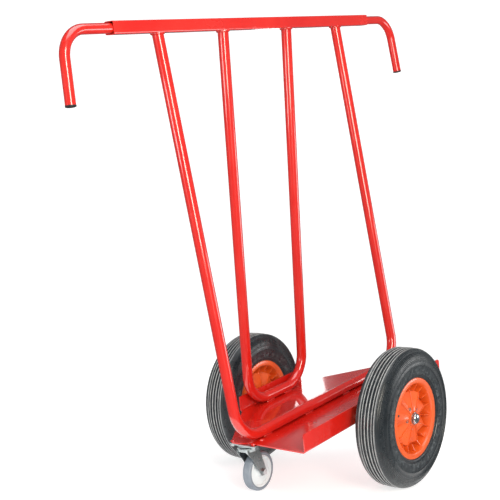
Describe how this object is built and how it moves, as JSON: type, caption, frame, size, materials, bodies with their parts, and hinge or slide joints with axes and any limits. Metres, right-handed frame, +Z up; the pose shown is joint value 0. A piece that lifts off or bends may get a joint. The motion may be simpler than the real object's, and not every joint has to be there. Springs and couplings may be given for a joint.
{
  "type": "sheet material cart",
  "caption": "Tubular steel cart with a low lipped tray, upright hoops, a hooked handle bar, pneumatic wheels and a swivel caster.",
  "frame": {"origin": "on the ground below the middle of the whole cart's box, with the cart standing on its big wheels and its caster", "axes": "+X along the cart from the caster end to the raised end, +Y across it along the axle towards the side of the upright hoops' lean, +Z up"},
  "size_m": [1.5492, 0.644, 1.4691],
  "materials": {
    "red_paint": "glossy red enamel or powder coat over steel tube and sheet",
    "tyre_rubber": "satin dark grey rubber with fine moulded rings",
    "rim_plastic": "semi-gloss moulded orange plastic",
    "tube_rubber": "dull butyl rubber",
    "black_plastic": "fine-textured black plastic",
    "zinc": "bright zinc plate with faint spangle and a blue-grey cast",
    "bright_steel": "turned or plated bare steel",
    "caster_rubber": "non-marking grey rubber, satin",
    "caster_plastic": "off-white moulded plastic"
  },
  "bodies": {
    "frame": {"base_plate": "red_paint", "outer_hoop": "red_paint", "inner_hoop": "red_paint", "top_bar": "red_paint", "near_handle": "red_paint", "near_handle_plug": "black_plastic", "far_handle": "red_paint", "far_handle_plug": "black_plastic", "axle": "bright_steel", "near_axle_bracket": "red_paint", "middle_axle_bracket": "red_paint", "far_axle_bracket": "red_paint", "near_axle_collar": "bright_steel", "near_inner_washer": "zinc", "near_outer_washer": "zinc", "near_axle_cap": "bright_steel", "far_axle_collar": "bright_steel", "far_inner_washer": "zinc", "far_outer_washer": "zinc", "far_axle_cap": "bright_steel", "caster_plate": "zinc", "caster_bolt_1": "red_paint", "caster_bolt_2": "red_paint", "caster_bolt_3": "red_paint", "caster_bolt_4": "red_paint", "caster_nut_1": "zinc", "caster_nut_2": "zinc", "caster_nut_3": "zinc", "caster_nut_4": "zinc", "caster_bearing_race": "zinc", "caster_kingpin": "zinc"},
    "near_wheel": {"near_tyre": "tyre_rubber", "near_inner_tube": "tube_rubber", "near_rim_outer": "rim_plastic", "near_rim_inner": "rim_plastic", "near_hub_bush": "bright_steel", "near_valve": "black_plastic", "near_rim_screw_1": "zinc", "near_rim_screw_2": "zinc", "near_rim_screw_3": "zinc", "near_rim_screw_4": "zinc", "near_rim_screw_5": "zinc"},
    "far_wheel": {"far_tyre": "tyre_rubber", "far_inner_tube": "tube_rubber", "far_rim_outer": "rim_plastic", "far_rim_inner": "rim_plastic", "far_hub_bush": "bright_steel", "far_valve": "black_plastic", "far_rim_screw_1": "zinc", "far_rim_screw_2": "zinc", "far_rim_screw_3": "zinc", "far_rim_screw_4": "zinc", "far_rim_screw_5": "zinc"},
    "caster_swivel": {"caster_fork": "zinc", "caster_axle_bolt": "bright_steel", "caster_axle_nut": "bright_steel"},
    "caster_wheel": {"caster_tread": "caster_rubber", "caster_wheel_core": "caster_plastic", "caster_bush": "bright_steel"}
  },
  "joints": [
    {"name": "near_wheel_spin", "type": "hinge", "parent": "frame", "child": "near_wheel", "pos_m": [0.19221, -0.271, 0.2], "axis": [0, 1, 0], "continuous": true},
    {"name": "far_wheel_spin", "type": "hinge", "parent": "frame", "child": "far_wheel", "pos_m": [0.19221, 0.271, 0.2], "axis": [0, 1, 0], "continuous": true},
    {"name": "caster_turn", "type": "hinge", "parent": "frame", "child": "caster_swivel", "pos_m": [-0.17356, 0.007, 0.14322], "axis": [-0.1819, 0, 0.9833], "continuous": true},
    {"name": "caster_wheel_spin", "type": "hinge", "parent": "caster_swivel", "child": "caster_wheel", "pos_m": [-0.12276, 0.007, 0.0555], "axis": [0, 1, 0], "continuous": true}
  ]
}
